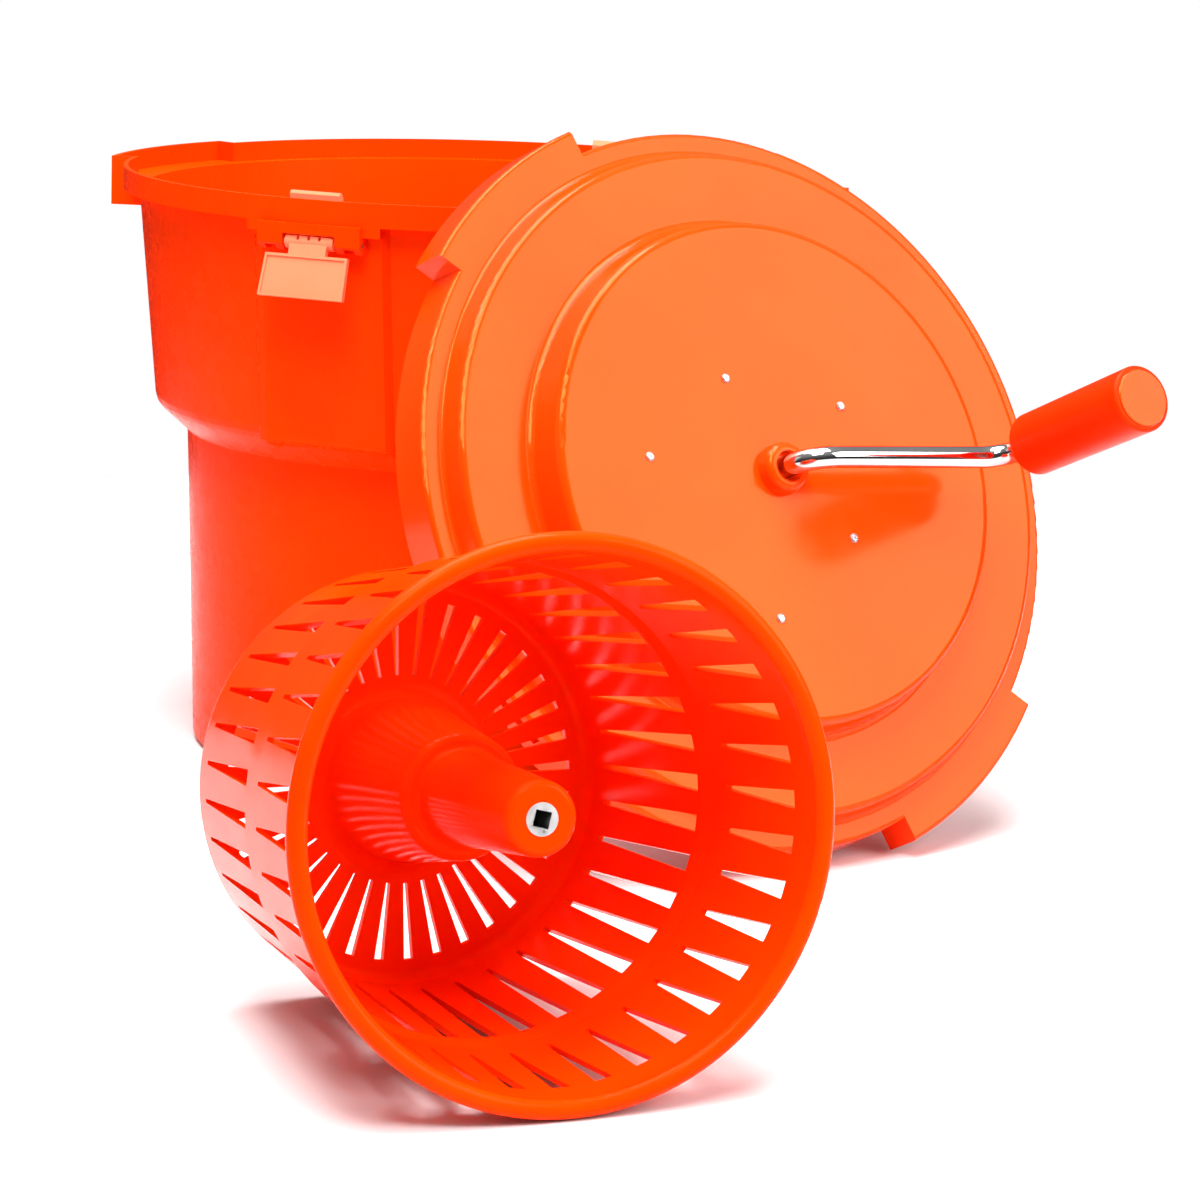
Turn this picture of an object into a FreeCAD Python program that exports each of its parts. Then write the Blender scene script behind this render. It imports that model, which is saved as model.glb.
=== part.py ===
import FreeCAD, Part
import math
import os
import re

import Sketcher
from FreeCAD import Placement, Rotation, Vector

# Salad spinner with a crank lid, taken apart: the tub stands upright, the lid leans on the tub's rim
# and the basket lies on its side in front. Millimetres, +Z up, origin at the centre of the tub's base,
# -Y towards the front.

SIZES = {
    # tub
    "tub_height": 356.0, "rim_radius": 216.0, "band_wall": 3.0, "band_height": 14.0,
    "ledge_drop": 12.0, "wall_gauge": 3.0, "wall_top_radius": 206.0,
    "shoulder_height": 213.0, "shoulder_radius": 194.5, "neck_height": 195.5, "neck_radius": 175.0,
    "base_radius": 169.0, "floor_gauge": 4.0, "base_corner": 5.0, "shoulder_corner": 4.0,
    "post_base_radius": 34.0, "post_top_radius": 15.0, "post_height": 104.0,
    "pivot_radius": 6.0, "pivot_top": 142.0, "pivot_sunk": 28.0,
    # carrying handles, at the ends of the tub's X axis
    "handle_radius": 229.5, "handle_wall": 3.5, "handle_height": 30.0, "handle_angle": 34.4,
    "handle_slot_angle": 32.8,
    # latch seats, at the ends of the tub's Y axis
    "pad_width": 88.0, "pad_top": 207.5, "pad_low": 196.0, "latch_band_height": 20.0,
    "latch_band_angle": 23.0, "ear_outer": 33.0, "ear_inner": 17.0, "ear_front": 217.5,
    "ear_low": 326.0, "latch_slot_width": 35.0, "latch_slot_outer": 213.9,
    # latches
    "latch_pivot_y": 213.0, "latch_pivot_z": 331.3, "latch_pin_radius": 2.0, "latch_barrel_radius": 4.3,
    "latch_arm_y": 207.8, "latch_arm_gauge": 2.5, "latch_top": 360.0, "latch_half": 16.0,
    "latch_neck_half": 12.0, "flap_lean": 17.5, "flap_length": 25.0, "flap_top_half": 26.5,
    "flap_low_half": 27.5, "flap_gauge": 3.0, "flap_border": 1.6, "flap_panel_depth": 0.8,
    # lid
    "skirt_depth": 26.0, "skirt_radius": 211.5, "flange_radius": 209.5, "lid_gauge": 3.5,
    "ring_foot_radius": 197.0, "ring_radius": 193.0, "ring_rise": 14.3,
    "plateau_foot_radius": 149.5, "plateau_radius": 145.0, "plateau_rise": 37.0,
    "lug_radius": 224.5, "lug_angle": 32.0, "boss_radius": 15.0, "boss_rise": 9.5,
    "boss_hole_radius": 9.0, "catch_wall": 203.7,
    # gearbox under the lid
    "case_radius": 70.0, "case_near": -2.0, "case_far": -40.0, "case_wall": 2.5, "case_floor": 3.0,
    "case_low": -2.0, "sleeve_radius": 13.0, "sleeve_low": -12.0, "screw_boss_radius": 5.0,
    "gear_module": 2.0, "pressure_angle": 25.0, "gear_distance": 52.0, "gear_backlash": 0.12,
    "input_teeth": 39.0, "pinion_teeth": 13.0, "cluster_teeth": 30.0, "output_teeth": 22.0,
    "input_low": 19.0, "input_high": 30.0, "output_low": 3.0, "output_high": 12.0,
    "layshaft_radius": 4.0, "shaft_journal_radius": 7.0, "drive_square": 7.8, "drive_low": -83.0,
    "running_gap": 0.06,
    # crank
    "rod_radius": 6.25, "crank_radius": 136.0, "arm_rise": 66.0, "bend_radius": 18.0,
    "rod_square": 9.0, "grip_radius": 19.0, "grip_low": 94.0, "grip_high": 192.0,
    "grip_recess_radius": 14.4, "grip_recess": 14.0, "cap_gauge": 4.0,
    # basket
    "basket_height": 228.0, "basket_rim_radius": 134.5, "bead_radius": 4.8, "basket_wall": 2.8,
    "basket_floor": 4.0, "basket_base_radius": 105.5, "basket_corner": 8.0, "drum_step": 116.0,
    "drum_flare": 11.0, "slot_count": 36.0,
    "column_base_radius": 42.0, "column_shoulder": 92.0, "column_shoulder_radius": 31.0,
    "column_neck_radius": 23.5, "column_tip_radius": 18.0, "column_height": 193.0,
    "socket_radius": 8.0, "socket_length": 22.0, "socket_square": 8.0, "hub_radius": 38.4,
    "hub_tube_radius": 14.0, "hub_height": 34.0, "bush_radius": 9.0,
}

# The rest layout: turns in degrees, places in millimetres.
LAYOUT = {
    "latch_bearing": -26.0,        # front latch, measured from -Y towards +X
    "lid_bearing": 32.8,           # the way the lid's top side faces, from -Y towards +X
    "lid_lean": 23.5,              # how far the lid's top side faces up
    "lid_x": 155.9, "lid_y": -252.5,
    "lug_turn": -56.2,             # lower lug, from the lid's own rightward line
    "crank_turn": -4.0,            # crank arm, from the same line
    "basket_bearing": 21.2, "basket_x": -31.4, "basket_y": -556.8, "basket_turn": 1.1,
    "socket_turn": -15.0,
}

doc = FreeCAD.newDocument("salad_spinner")
sheet = doc.addObject("Spreadsheet::Sheet", "dims")
for row, (alias, value) in enumerate(SIZES.items(), start=1):
    sheet.set(f"A{row}", alias.replace("_", " "))
    sheet.set(f"B{row}", str(value))
    sheet.setAlias(f"B{row}", alias)
doc.recompute()

parts = []      # every finished sub-part, in the order it is made


def cell(formula):
    """The formula with each size's name turned into a reference to its cell."""
    return re.sub(r"[a-z_]+", lambda word: "dims." + word[0] if word[0] in SIZES else word[0], formula)


def size(alias):
    return float(sheet.get(alias))


def finish(sub_part, label, placement=None):
    """Name a finished sub-part and put it in its place."""
    sub_part.Label = label
    if placement is not None:
        sub_part.Placement = placement
    parts.append(sub_part)
    return sub_part


# ---------------------------------------------------------------- sketches and features


def attach(body, name, role, offset):
    sketch = body.newObject("Sketcher::SketchObject", name)
    plane = next(item for item in body.Origin.OriginFeatures if item.Role == role)
    sketch.AttachmentSupport = [(plane, "")]
    sketch.MapMode = "FlatFace"
    if offset is not None:
        sketch.AttachmentOffset = offset
    return sketch


def outline(body, name, role, loops, offset=None):
    """Closed outlines; each corner is a pair of formulas of the sheet's cells."""
    sketch = attach(body, name, role, offset)
    for corners in loops:
        first = sketch.GeometryCount
        count = len(corners)
        angles = [math.tau * k / count for k in range(count)]
        seeds = [Vector(math.cos(angle), math.sin(angle), 0) for angle in angles]
        for k in range(count):
            sketch.addGeometry(Part.LineSegment(seeds[k], seeds[(k + 1) % count]), False)
        for k in range(count):
            link = Sketcher.Constraint("Coincident", first + k, 2, first + (k + 1) % count, 1)
            sketch.addConstraint(link)
        for k, (across, up) in enumerate(corners):
            for kind, formula in (("DistanceX", across), ("DistanceY", up)):
                row = sketch.addConstraint(Sketcher.Constraint(kind, -1, 1, first + k, 1, 1.0))
                sketch.setExpression(f"Constraints[{row}]", cell(formula))
    return sketch


def circles(body, name, role, centres, radius, offset=None):
    """Equal circles; each centre is a pair of formulas, and so is the radius."""
    sketch = attach(body, name, role, offset)
    for across, up in centres:
        ring = sketch.addGeometry(Part.Circle(Vector(0, 0, 0), Vector(0, 0, 1), 1.0), False)
        for kind, formula in (("DistanceX", across), ("DistanceY", up)):
            row = sketch.addConstraint(Sketcher.Constraint(kind, -1, 1, ring, 3, 1.0))
            sketch.setExpression(f"Constraints[{row}]", cell(formula))
        row = sketch.addConstraint(Sketcher.Constraint("Radius", ring, 1.0))
        sketch.setExpression(f"Constraints[{row}]", cell(radius))
    return sketch


def turn(body, kind, name, sketch, angle="360"):
    """Revolution or Groove about Z; a part turn is centred on the sketch."""
    feature = body.newObject("PartDesign::" + kind, name)
    feature.Profile = sketch
    feature.ReferenceAxis = (sketch, ["V_Axis"])
    feature.Midplane = angle != "360"
    feature.setExpression("Angle", cell(angle))
    return feature


def extrude(body, kind, name, sketch, length, side="One side", reverse=False):
    """Pad or Pocket."""
    feature = body.newObject("PartDesign::" + kind, name)
    feature.Profile = sketch
    feature.SideType = side
    feature.Reversed = reverse
    feature.setExpression("Length", cell(length))
    return feature


def round_circles(body, name, radius, rings):
    """Fillet the circular edges that lie at the given pairs of radius and height."""
    doc.recompute()
    base = body.Tip
    edges = []
    for number, edge in enumerate(base.Shape.Edges, start=1):
        curve = edge.Curve
        if not isinstance(curve, Part.Circle):
            continue
        for ring_radius, height in rings:
            if abs(curve.Radius - ring_radius) < 0.05 and abs(curve.Center.z - height) < 0.05:
                edges.append(f"Edge{number}")
    if len(edges) < len(rings):
        raise RuntimeError(f"{name}: {len(edges)} edges found for {len(rings)} rings")
    feature = body.newObject("PartDesign::Fillet", name)
    feature.Base = (base, edges)
    feature.setExpression("Radius", cell(radius))
    return feature


def new_body(name):
    return doc.addObject("PartDesign::Body", name)


def turned(name, profile, placement=None):
    """A sub-part turned from one profile of radius and height formulas."""
    body = new_body(name)
    turn(body, "Revolution", name + "_turn", outline(body, name + "_profile", "XZ_Plane", [profile]))
    return finish(body, name, placement)


def tube(inner, outer, low, high):
    return [(inner, low), (outer, low), (outer, high), (inner, high)]


def both_sides(loop):
    """The loop and its mirror image across the vertical axis."""
    return [loop, [("-(" + across + ")", up) for across, up in loop]]


# ---------------------------------------------------------------- places of the three groups

latch_turn = Rotation(Vector(0, 0, 1), LAYOUT["latch_bearing"])
tub_place = Placement(Vector(0, 0, 0), latch_turn)


def facing(bearing, lean):
    """Turns X to the right and Z to the given bearing and lean, seen from the front."""
    tilt = Rotation(Vector(1, 0, 0), 90.0 - lean)
    return Rotation(Vector(0, 0, 1), bearing).multiply(tilt)


def lid_height():
    """The height at which the lower corner of the lower lug touches the floor."""
    lean = math.radians(LAYOUT["lid_lean"])
    corner = math.radians(LAYOUT["lug_turn"] - size("lug_angle") / 2)
    return -size("lug_radius") * math.sin(corner) * math.cos(lean) + size("skirt_depth") * math.sin(lean)


lid_facing = facing(LAYOUT["lid_bearing"], LAYOUT["lid_lean"])
lid_centre = Vector(LAYOUT["lid_x"], LAYOUT["lid_y"], lid_height())


def lid_place(turned_by, spot=Vector(0, 0, 0)):
    """A place on the lid: turned about the lid's axis, at a spot in the turned frame."""
    rotation = lid_facing.multiply(Rotation(Vector(0, 0, 1), turned_by))
    return Placement(lid_centre + rotation.multVec(spot), rotation)


on_lid = lid_place(LAYOUT["lug_turn"])
on_layshaft = lid_place(LAYOUT["lug_turn"], Vector(0, -size("gear_distance"), 0))
on_crank = lid_place(LAYOUT["crank_turn"])
on_grip = lid_place(LAYOUT["crank_turn"], Vector(size("crank_radius"), 0, 0))


def basket_lean():
    """The lean at which the rim's bead and the rounded base corner both touch the floor."""
    corner = size("basket_corner")
    bead = size("bead_radius")
    taper = math.atan(size("drum_flare") / size("drum_step"))
    inset = corner * math.tan(math.pi / 4 - taper / 2)
    run = (size("basket_height") - bead) - corner
    drop = (size("basket_rim_radius") - bead) - (size("basket_base_radius") - inset)
    reach = math.hypot(run, drop)
    return math.degrees(math.atan2(drop, run) + math.asin((bead - corner) / reach))


basket_facing = facing(LAYOUT["basket_bearing"], basket_lean())
lean = math.radians(basket_lean())
basket_z = (size("basket_rim_radius") - size("bead_radius")) * math.cos(lean)
basket_z -= (size("basket_height") - size("bead_radius")) * math.sin(lean) - size("bead_radius")


def basket_place(turned_by):
    rotation = basket_facing.multiply(Rotation(Vector(0, 0, 1), turned_by))
    return Placement(Vector(LAYOUT["basket_x"], LAYOUT["basket_y"], basket_z), rotation)


in_basket = basket_place(LAYOUT["basket_turn"])


# ---------------------------------------------------------------- tub


def latch_pads(body):
    """A seat for each latch: flat, with bevelled upright sides, running out into the shoulder."""
    levels = [("pad_low - 16", "shoulder_height - 9"), ("pad_low", "shoulder_height - 2"),
              ("pad_top", "tub_height - band_height")]
    half = "pad_width / 2"
    for number, sign in enumerate(("", "-")):
        sections = []
        for level, (face, height) in enumerate(levels):
            right = [(half, "150"), (half, face + " - 6"), (half + " - 3", face + " - 1.5"),
                     (half + " - 8", face)]
            plan = right + [("-(" + across + ")", up) for across, up in reversed(right)]
            plan = [(across, sign + "(" + up + ")") for across, up in plan]
            sketch = outline(body, f"pad_plan_{number}_{level}", "XY_Plane", [plan], Placement())
            sketch.setExpression("AttachmentOffset.Base.z", cell(height))
            sections.append(sketch)
        loft = body.newObject("PartDesign::AdditiveLoft", f"latch_pad_{number}")
        loft.Profile = sections[0]
        loft.Sections = sections[1:]
        loft.Ruled = True


def make_tub():
    """Bucket with a stepped wall, a rim channel for the lid, two carrying handles and two latch seats.
    Handles lie along the tub's own X axis, latch seats along its Y axis."""
    body = new_body("tub_shell")
    outside = [
        ("0", "0"), ("base_radius", "0"), ("neck_radius", "neck_height"),
        ("shoulder_radius - 0.75 * shoulder_corner", "shoulder_height - 0.68 * shoulder_corner"),
        ("shoulder_radius - 0.16 * shoulder_corner", "shoulder_height + 0.08 * shoulder_corner"),
        ("shoulder_radius + 0.09 * shoulder_corner", "shoulder_height + shoulder_corner"),
        ("wall_top_radius", "tub_height - band_height"), ("rim_radius", "tub_height - band_height"),
        ("rim_radius", "tub_height"), ("0", "tub_height")]
    turn(body, "Revolution", "tub_outside", outline(body, "tub_outside_profile", "XZ_Plane", [outside]))
    round_circles(body, "tub_base_round", "base_corner", [(size("base_radius"), 0.0)])

    # carrying handles: solid blocks first
    handle = [("190", "tub_height - handle_height"), ("handle_radius", "tub_height - handle_height"),
              ("handle_radius", "tub_height"), ("190", "tub_height")]
    for number, side in enumerate(both_sides(handle)):
        sketch = outline(body, f"handle_profile_{number}", "XZ_Plane", [side])
        turn(body, "Revolution", f"handle_block_{number}", sketch, "handle_angle")

    # latch seats: a flat pad on the wall, a deeper stretch of rim band and two ears
    latch_pads(body)
    deep_band = [("190", "tub_height - latch_band_height"),
                 ("rim_radius", "tub_height - latch_band_height"),
                 ("rim_radius", "tub_height - ledge_drop"), ("190", "tub_height - ledge_drop")]
    ear = [("195", "ear_low"), ("ear_front - 4", "ear_low"), ("ear_front", "ear_low + 4"),
           ("ear_front", "tub_height - band_height"), ("195", "tub_height - band_height")]
    for number, side in enumerate(both_sides(deep_band)):
        sketch = outline(body, f"deep_band_profile_{number}", "YZ_Plane", [side])
        turn(body, "Revolution", f"deep_band_{number}", sketch, "latch_band_angle")
    sketch = outline(body, "ear_profile", "YZ_Plane", both_sides(ear))
    extrude(body, "Pad", "ears", sketch, "2 * ear_outer", "Symmetric")
    between = [("pad_top", "ear_low - 1"), ("ear_front + 1", "ear_low - 1"),
               ("ear_front + 1", "tub_height - latch_band_height"),
               ("pad_top", "tub_height - latch_band_height")]
    sketch = outline(body, "between_ears_profile", "YZ_Plane", both_sides(between))
    extrude(body, "Pocket", "between_ears", sketch, "2 * ear_inner", "Symmetric")

    # the inside: wall, lid channel and floor
    inside = [
        ("0", "floor_gauge"), ("base_radius - wall_gauge", "floor_gauge"),
        ("neck_radius - wall_gauge", "neck_height + 1"),
        ("shoulder_radius - wall_gauge", "shoulder_height + 1"),
        ("wall_top_radius - wall_gauge", "tub_height - ledge_drop"),
        ("rim_radius - band_wall", "tub_height - ledge_drop"), ("rim_radius - band_wall", "tub_height + 1"),
        ("0", "tub_height + 1")]
    turn(body, "Groove", "tub_inside", outline(body, "tub_inside_profile", "XZ_Plane", [inside]))

    # handles hollowed: a recess for the lid's lug above, a finger pocket below
    lug_recess = tube("wall_top_radius", "handle_radius - handle_wall",
                      "tub_height - ledge_drop", "tub_height + 1")
    finger_pocket = tube("wall_top_radius", "handle_radius - handle_wall",
                         "tub_height - handle_height - 1", "tub_height - ledge_drop - wall_gauge")
    for number, side in enumerate(both_sides(lug_recess) + both_sides(finger_pocket)):
        sketch = outline(body, f"handle_hollow_profile_{number}", "XZ_Plane", [side])
        turn(body, "Groove", f"handle_hollow_{number}", sketch, "handle_slot_angle")

    # slot for each latch's arm through the ledge, the pin holes and the notches under the ears
    arm_slot = tube("pad_top + 0.1", "latch_slot_outer", "ear_low", "tub_height + 1")
    sketch = outline(body, "arm_slot_profile", "YZ_Plane", both_sides(arm_slot))
    extrude(body, "Pocket", "arm_slots", sketch, "latch_slot_width", "Symmetric")
    pin_spots = [("latch_pivot_y", "latch_pivot_z"), ("-latch_pivot_y", "latch_pivot_z")]
    sketch = circles(body, "latch_pin_hole_profile", "YZ_Plane", pin_spots, "latch_pin_radius")
    extrude(body, "Pocket", "latch_pin_holes", sketch, "2 * ear_outer + 2", "Symmetric")
    notch = [("22", "ear_low - 1"), ("29", "ear_low - 1"), ("29", "ear_low + 2.8"), ("22", "ear_low + 2.8")]
    for number, distance in enumerate((size("pad_top") + 0.5, -size("ear_front") - 0.5)):
        offset = Placement(Vector(0, 0, -distance), Rotation())
        sketch = outline(body, f"ear_notch_profile_{number}", "XZ_Plane", both_sides(notch), offset)
        extrude(body, "Pocket", f"ear_notches_{number}", sketch, "ear_front - pad_top + 1")

    # the post that carries the pivot pin
    post = [("0", "floor_gauge - 1"), ("post_base_radius", "floor_gauge - 1"),
            ("post_base_radius - 6", "floor_gauge + 16"), ("post_top_radius", "post_height"),
            ("0", "post_height")]
    turn(body, "Revolution", "post", outline(body, "post_profile", "XZ_Plane", [post]))
    bore = tube("0", "pivot_radius", "post_height - pivot_sunk", "post_height + 1")
    turn(body, "Groove", "post_bore", outline(body, "post_bore_profile", "XZ_Plane", [bore]))
    return finish(body, "tub_shell", tub_place)


make_tub()
turned("pivot_pin", [("0", "post_height - pivot_sunk"), ("pivot_radius", "post_height - pivot_sunk"),
                     ("pivot_radius", "pivot_top - 2"), ("pivot_radius - 2", "pivot_top"),
                     ("0", "pivot_top")], tub_place)


def group(label, master, places):
    """Several equal solids in one node, each a link to the same piece."""
    links = []
    for number, place in enumerate(places):
        link = doc.addObject("App::Link", f"{label}_{number}")
        link.LinkedObject = master
        link.LinkTransform = False
        link.Placement = place
        links.append(link)
    compound = doc.addObject("Part::Compound", label + "_group")
    compound.Links = links
    return finish(compound, label)


def make_latch_pins():
    master = doc.addObject("Part::Cylinder", "latch_pin")
    master.setExpression("Radius", cell("latch_pin_radius"))
    master.setExpression("Height", cell("2 * ear_outer"))
    across = Rotation(Vector(0, 1, 0), 90)
    places = []
    for side in (1, -1):
        spot = Vector(-size("ear_outer"), side * size("latch_pivot_y"), size("latch_pivot_z"))
        places.append(tub_place.multiply(Placement(spot, across)))
    return group("latch_pins", master, places)


make_latch_pins()


def make_latch(label, placement):
    """One-piece rocking latch, on the +Y side of the tub: hook arm, barrel, neck and finger flap."""
    body = new_body(label)
    arm_front = "latch_arm_y + latch_arm_gauge"
    hook = [("latch_arm_y", "latch_pivot_z - 2"), (arm_front, "latch_pivot_z - 2"),
            (arm_front, "latch_top - 1.5"), (arm_front + " - 1", "latch_top"),
            ("latch_arm_y - 0.5", "latch_top"), ("latch_arm_y - 2.4", "latch_top - 3"),
            ("latch_arm_y - 2.4", "latch_top - 6"), ("latch_arm_y", "latch_top - 6")]
    sketch = outline(body, label + "_hook_profile", "YZ_Plane", [hook])
    extrude(body, "Pad", label + "_hook", sketch, "2 * latch_half", "Symmetric")
    sketch = circles(body, label + "_barrel_profile", "YZ_Plane",
                     [("latch_pivot_y", "latch_pivot_z")], "latch_barrel_radius")
    extrude(body, "Pad", label + "_barrel", sketch, "2 * latch_half - 1", "Symmetric")
    brow = [("latch_arm_y + 1", "latch_pivot_z"), ("latch_pivot_y + 4", "latch_pivot_z"),
            ("latch_pivot_y + 3.4", "latch_pivot_z + 3.6"), ("latch_arm_y + 1", "latch_pivot_z + 3.6")]
    sketch = outline(body, label + "_brow_profile", "YZ_Plane", [brow])
    extrude(body, "Pad", label + "_brow", sketch, "2 * latch_neck_half + 4", "Symmetric")
    neck = [("latch_pivot_y - 1", "latch_pivot_z"), ("latch_pivot_y + 4", "latch_pivot_z"),
            ("latch_pivot_y + 6.9", "latch_pivot_z - 9.1"), ("latch_pivot_y + 4.6", "latch_pivot_z - 9.9")]
    sketch = outline(body, label + "_neck_profile", "YZ_Plane", [neck])
    extrude(body, "Pad", label + "_neck", sketch, "2 * latch_neck_half", "Symmetric")
    slit_offset = Placement(Vector(0, 0, size("latch_pivot_z") + 1.2), Rotation())
    slit = tube("-0.9", "0.9", "latch_arm_y + 3.2", "latch_pivot_y + 5")
    slits = [[(across + shift, up) for across, up in slit] for shift in ("- 7", "", "+ 7")]
    sketch = outline(body, label + "_slit_profile", "XY_Plane", slits, slit_offset)
    extrude(body, "Pocket", label + "_slits", sketch, "6", reverse=True)

    # the flap: a leaning plate with a raised border
    flap_top = Vector(0, size("latch_pivot_z") - 6.8, -(size("latch_pivot_y") + 6.5))
    tilt = Rotation(Vector(1, 0, 0), size("flap_lean"))
    plate = [("-flap_top_half", "0"), ("flap_top_half", "0"), ("flap_low_half", "-flap_length"),
             ("-flap_low_half", "-flap_length")]
    sketch = outline(body, label + "_flap_profile", "XZ_Plane", [plate], Placement(flap_top, tilt))
    extrude(body, "Pad", label + "_flap", sketch, "flap_gauge")
    panel = [("-flap_top_half + flap_border", "-flap_border"),
             ("flap_top_half - flap_border", "-flap_border"),
             ("flap_low_half - flap_border", "-flap_length + flap_border"),
             ("-flap_low_half + flap_border", "-flap_length + flap_border")]
    sketch = outline(body, label + "_panel_profile", "XZ_Plane", [panel], Placement(flap_top, tilt))
    extrude(body, "Pocket", label + "_panel", sketch, "flap_panel_depth", reverse=True)

    # pin hole
    sketch = circles(body, label + "_bore_profile", "YZ_Plane",
                     [("latch_pivot_y", "latch_pivot_z")], "latch_pin_radius + running_gap")
    extrude(body, "Pocket", label + "_bore", sketch, "2 * latch_half + 2", "Symmetric")
    return finish(body, label, placement)


half_turn = Placement(Vector(0, 0, 0), Rotation(Vector(0, 0, 1), 180))
make_latch("latch_front", tub_place.multiply(half_turn))
make_latch("latch_rear", tub_place)


# ---------------------------------------------------------------- lid
# In the lid's own frame Z is its axis, Z = 0 is the top of the outer flange, the lugs lie along X
# and the latch catches along Y.

SCREW_SPOTS = [(0, 61), (58, 10), (-59, 10), (58, -64), (-59, -64), (0, -101)]


def spots(points):
    return [(str(across), str(up)) for across, up in points]


def make_lid():
    body = new_body("lid_cover")
    outside = [
        ("0", "-skirt_depth"), ("skirt_radius", "-skirt_depth"), ("flange_radius", "0"),
        ("ring_foot_radius", "0"), ("ring_radius", "ring_rise"), ("plateau_foot_radius", "ring_rise"),
        ("plateau_radius", "plateau_rise"), ("0", "plateau_rise")]
    turn(body, "Revolution", "lid_outside", outline(body, "lid_outside_profile", "XZ_Plane", [outside]))
    lug = [("190", "-skirt_depth"), ("lug_radius", "-skirt_depth"), ("lug_radius - 1", "0"), ("190", "0")]
    for number, side in enumerate(both_sides(lug)):
        sketch = outline(body, f"lug_profile_{number}", "XZ_Plane", [side])
        turn(body, "Revolution", f"lug_{number}", sketch, "lug_angle")
    round_circles(body, "plateau_round", "5", [(size("plateau_radius"), size("plateau_rise"))])
    round_circles(body, "ring_round", "4",
                  [(size("ring_radius"), size("ring_rise")),
                   (size("plateau_foot_radius"), size("ring_rise"))])
    round_circles(body, "flange_round", "2.5",
                  [(size("flange_radius"), 0.0), (size("ring_foot_radius"), 0.0),
                   (size("lug_radius") - 1, 0.0)])
    boss = [("0", "plateau_rise - 1"), ("boss_radius", "plateau_rise - 1"),
            ("boss_radius - 1", "plateau_rise + boss_rise"), ("0", "plateau_rise + boss_rise")]
    turn(body, "Revolution", "crank_boss", outline(body, "crank_boss_profile", "XZ_Plane", [boss]))
    round_circles(body, "crank_boss_round", "4.5",
                  [(size("boss_radius") - 1, size("plateau_rise") + size("boss_rise"))])
    inside = [
        ("0", "-skirt_depth - 1"), ("skirt_radius - lid_gauge", "-skirt_depth - 1"),
        ("flange_radius - lid_gauge", "-lid_gauge"), ("ring_foot_radius - lid_gauge", "-lid_gauge"),
        ("ring_radius - lid_gauge", "ring_rise - lid_gauge"),
        ("plateau_foot_radius - lid_gauge", "ring_rise - lid_gauge"),
        ("plateau_radius - lid_gauge", "plateau_rise - lid_gauge"), ("0", "plateau_rise - lid_gauge")]
    turn(body, "Groove", "lid_inside", outline(body, "lid_inside_profile", "XZ_Plane", [inside]))
    lug_hollow = tube("skirt_radius - 5", "lug_radius - lid_gauge", "-skirt_depth - 1", "-lid_gauge")
    for number, side in enumerate(both_sides(lug_hollow)):
        sketch = outline(body, f"lug_hollow_profile_{number}", "XZ_Plane", [side])
        turn(body, "Groove", f"lug_hollow_{number}", sketch, "lug_angle - 1.9")

    # latch catches: the skirt steps in, with a window for the hook
    skirt_cut = [("catch_wall + 3.5", "-skirt_depth - 1"), ("skirt_radius + 2", "-skirt_depth - 1"),
                 ("skirt_radius + 2", "-6"), ("catch_wall + 3.5", "-6")]
    sketch = outline(body, "catch_recess_profile", "YZ_Plane", both_sides(skirt_cut))
    extrude(body, "Pocket", "catch_recess", sketch, "2 * latch_half + 6", "Symmetric")
    backing = tube("catch_wall", "catch_wall + 3.5", "-skirt_depth", "-lid_gauge + 0.5")
    sketch = outline(body, "catch_wall_profile", "YZ_Plane", both_sides(backing))
    extrude(body, "Pad", "catch_walls", sketch, "2 * latch_half + 12", "Symmetric")
    window = tube("catch_wall - 1", "catch_wall + 5", "-skirt_depth + 9.5", "-skirt_depth + 18")
    sketch = outline(body, "catch_window_profile", "YZ_Plane", both_sides(window))
    extrude(body, "Pocket", "catch_windows", sketch, "2 * latch_half + 2", "Symmetric")

    # layshaft boss under the plate, the crank's hole and the screw holes
    in_plate = Placement(Vector(0, 0, size("plateau_rise") - size("lid_gauge") + 0.5), Rotation())
    sketch = circles(body, "layshaft_boss_profile", "XY_Plane", [("0", "-gear_distance")], "8", in_plate)
    extrude(body, "Pad", "layshaft_boss", sketch, "3", reverse=True)
    under_plate = Placement(Vector(0, 0, size("plateau_rise") - size("lid_gauge")), Rotation())
    sketch = circles(body, "layshaft_hole_profile", "XY_Plane", [("0", "-gear_distance")],
                     "layshaft_radius", under_plate)
    extrude(body, "Pocket", "layshaft_hole", sketch, "8")
    top = Placement(Vector(0, 0, size("plateau_rise") + size("boss_rise") + 1), Rotation())
    sketch = circles(body, "crank_hole_profile", "XY_Plane", [("0", "0")], "boss_hole_radius", top)
    extrude(body, "Pocket", "crank_hole", sketch, "30")
    sketch = circles(body, "screw_hole_profile", "XY_Plane", spots(SCREW_SPOTS), "1.7", top)
    extrude(body, "Pocket", "screw_holes", sketch, "30")
    return finish(body, "lid_cover", on_lid)


make_lid()


def stadium(name, radius, low, high):
    """A block with round ends, around the crank's axis and the layshaft."""
    ends = []
    for end in ("near", "far"):
        cylinder = doc.addObject("Part::Cylinder", f"{name}_{end}")
        cylinder.setExpression("Radius", cell(radius))
        cylinder.setExpression("Height", cell(f"{high} - ({low})"))
        cylinder.setExpression("Placement.Base.y", cell(f"case_{end}"))
        cylinder.setExpression("Placement.Base.z", cell(low))
        ends.append(cylinder)
    middle = doc.addObject("Part::Box", name + "_middle")
    middle.setExpression("Length", cell(f"2 * ({radius})"))
    middle.setExpression("Width", cell("case_near - case_far"))
    middle.setExpression("Height", cell(f"{high} - ({low})"))
    middle.setExpression("Placement.Base.x", cell(f"-({radius})"))
    middle.setExpression("Placement.Base.y", cell("case_far"))
    middle.setExpression("Placement.Base.z", cell(low))
    return fuse(name, ends + [middle])


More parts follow.
